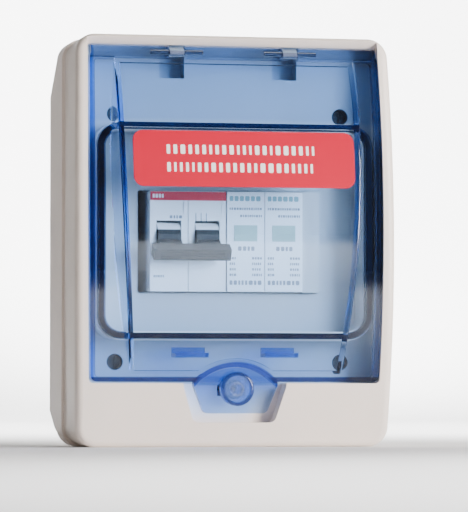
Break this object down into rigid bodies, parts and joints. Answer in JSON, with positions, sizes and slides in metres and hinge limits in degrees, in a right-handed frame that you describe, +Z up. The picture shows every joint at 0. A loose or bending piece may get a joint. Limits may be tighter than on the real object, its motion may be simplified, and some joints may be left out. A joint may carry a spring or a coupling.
{
  "type": "combiner box",
  "caption": "Wall-mounted weatherproof plastic enclosure with a tinted clear hinged door, a latch, and a rail of breaker and surge modules.",
  "frame": {"origin": "centre of the back face that goes against the wall", "axes": "+Z up, +X to the right seen from the front, +Y into the wall; the door faces -Y"},
  "size_m": [0.1462, 0.0934, 0.185],
  "materials": {
    "case_plastic": "fine satin moulded ABS, warm off-white",
    "clear_blue": "tinted clear polycarbonate",
    "clear_knob": "deeper tinted clear polycarbonate",
    "seal_rubber": "soft matt seal",
    "label_red": "engraved laminate plate, left blank",
    "device_white": "moulded thermoset, light",
    "surge_white": "moulded thermoset, cool white",
    "blank_white": "moulded blank",
    "lever_grey": "dark grey lever",
    "stripe_red": "printed stripe",
    "window_green": "status flag behind a clear pane",
    "clip_grey": "moulded clip",
    "holder_green": "green insulating holder",
    "steel": "plated steel",
    "zinc_steel": "zinc-plated, passivated",
    "brass": "machined brass",
    "wire_brown": "PVC insulation",
    "wire_blue": "PVC insulation",
    "wire_green": "PVC insulation, green and yellow"
  },
  "bodies": {
    "case": {"base_tub": "case_plastic", "base_gasket": "seal_rubber", "front_cover": "case_plastic", "door_gasket": "seal_rubber", "hinge_pins": "steel", "din_rail": "zinc_steel", "rail_screws": "steel", "thread_inserts": "brass", "cover_screws": "steel", "breaker_pole_left": "device_white", "breaker_pole_right": "device_white", "breaker_clamps": "zinc_steel", "breaker_terminal_screws": "steel", "breaker_top_stripe": "stripe_red", "surge_left_base": "surge_white", "surge_right_base": "surge_white", "surge_clamps": "zinc_steel", "surge_terminal_screws": "steel", "blank_cover": "blank_white", "earth_bar_holder": "holder_green", "earth_bar": "brass", "earth_bar_screws": "steel", "earth_bar_anchors": "steel", "line_wire": "wire_brown", "neutral_wire": "wire_blue", "earth_wires": "wire_green"},
    "door": {"door": "clear_blue", "label_plate": "label_red"},
    "latch": {"latch_knob": "clear_knob", "latch_cam": "clear_knob", "latch_retainer": "steel", "latch_seal": "seal_rubber"},
    "toggle": {"breaker_toggles": "lever_grey", "breaker_tie_bar": "lever_grey"},
    "breaker_clip": {"breaker_din_clip": "clip_grey"},
    "surge_left_clip": {"surge_left_din_clip": "clip_grey"},
    "surge_right_clip": {"surge_right_din_clip": "clip_grey"},
    "cartridge_left": {"surge_left_cartridge": "surge_white", "surge_left_window": "window_green", "surge_left_blades": "brass"},
    "cartridge_right": {"surge_right_cartridge": "surge_white", "surge_right_window": "window_green", "surge_right_blades": "brass"}
  },
  "joints": [
    {"name": "door_hinge", "type": "hinge", "parent": "case", "child": "door", "pos_m": [0, -0.0711, 0.0842], "axis": [-1, 0, 0], "range_deg": [0, 110]},
    {"name": "latch_turn", "type": "hinge", "parent": "door", "child": "latch", "pos_m": [0, -0.0777, -0.0665], "axis": [0, -1, 0], "range_deg": [0, 90]},
    {"name": "toggle_throw", "type": "hinge", "parent": "case", "child": "toggle", "pos_m": [-0.0194, -0.06, 0.0015], "axis": [-1, 0, 0], "range_deg": [0, 56]},
    {"name": "breaker_clip_slide", "type": "slide", "parent": "case", "child": "breaker_clip", "axis": [0, 0, -1], "range_m": [0, 0.004], "stiffness_N_per_m": 600},
    {"name": "surge_left_clip_slide", "type": "slide", "parent": "case", "child": "surge_left_clip", "axis": [0, 0, -1], "range_m": [0, 0.004], "stiffness_N_per_m": 600},
    {"name": "surge_right_clip_slide", "type": "slide", "parent": "case", "child": "surge_right_clip", "axis": [0, 0, -1], "range_m": [0, 0.004], "stiffness_N_per_m": 600},
    {"name": "cartridge_left_pull", "type": "slide", "parent": "case", "child": "cartridge_left", "axis": [0, -1, 0], "range_m": [0, 0.018]},
    {"name": "cartridge_right_pull", "type": "slide", "parent": "case", "child": "cartridge_right", "axis": [0, -1, 0], "range_m": [0, 0.018]}
  ]
}
